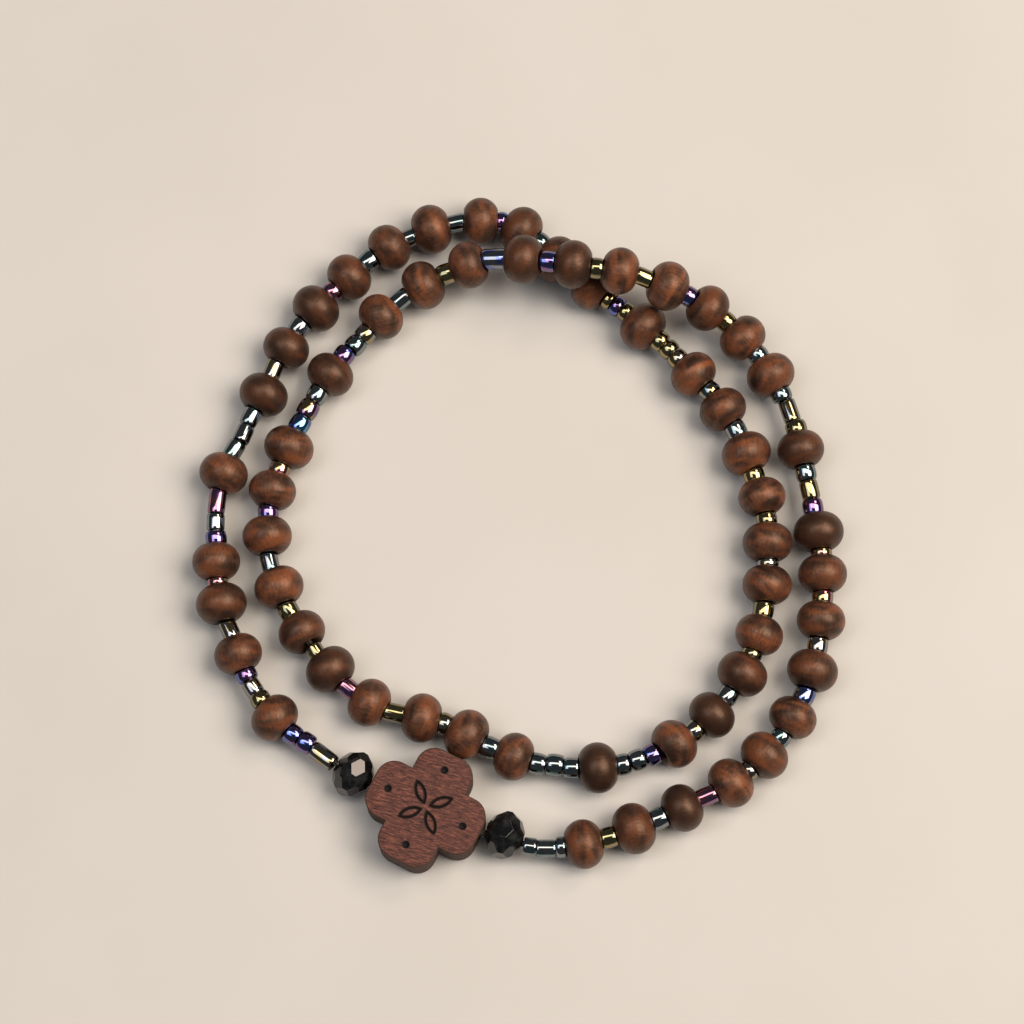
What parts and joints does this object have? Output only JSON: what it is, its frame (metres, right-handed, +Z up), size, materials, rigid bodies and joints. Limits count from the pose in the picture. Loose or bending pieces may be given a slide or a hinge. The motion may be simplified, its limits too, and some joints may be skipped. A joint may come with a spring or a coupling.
{
  "type": "wooden bead bracelet",
  "caption": "Closed string of round wood beads with seed beads between, wound twice, with a small wooden cross between two faceted black beads.",
  "frame": {"origin": "middle of the bracelet's outline, on the table that it lies on", "axes": "+Z up from the table and along the wrist's way through, +Y along the longer way across the loop, away from the cross"},
  "size_m": [0.064, 0.0677, 0.0096],
  "materials": {
    "bead_wood": "dark stained, turned and waxed",
    "cross_wood": "reddish purple wood, laser cut, unvarnished",
    "black_glass": "black glass, facetted and polished",
    "thread": "dark elastic thread",
    "seed_glass": "small glass seed beads with a metallic iris coat"
  },
  "bodies": {
    "root": {"cross_pendant": "cross_wood", "black_bead_left": "black_glass", "black_bead_right": "black_glass", "wood_beads_first_wrap": "bead_wood", "wood_beads_second_wrap": "bead_wood", "thread": "thread"}
  },
  "joints": []
}
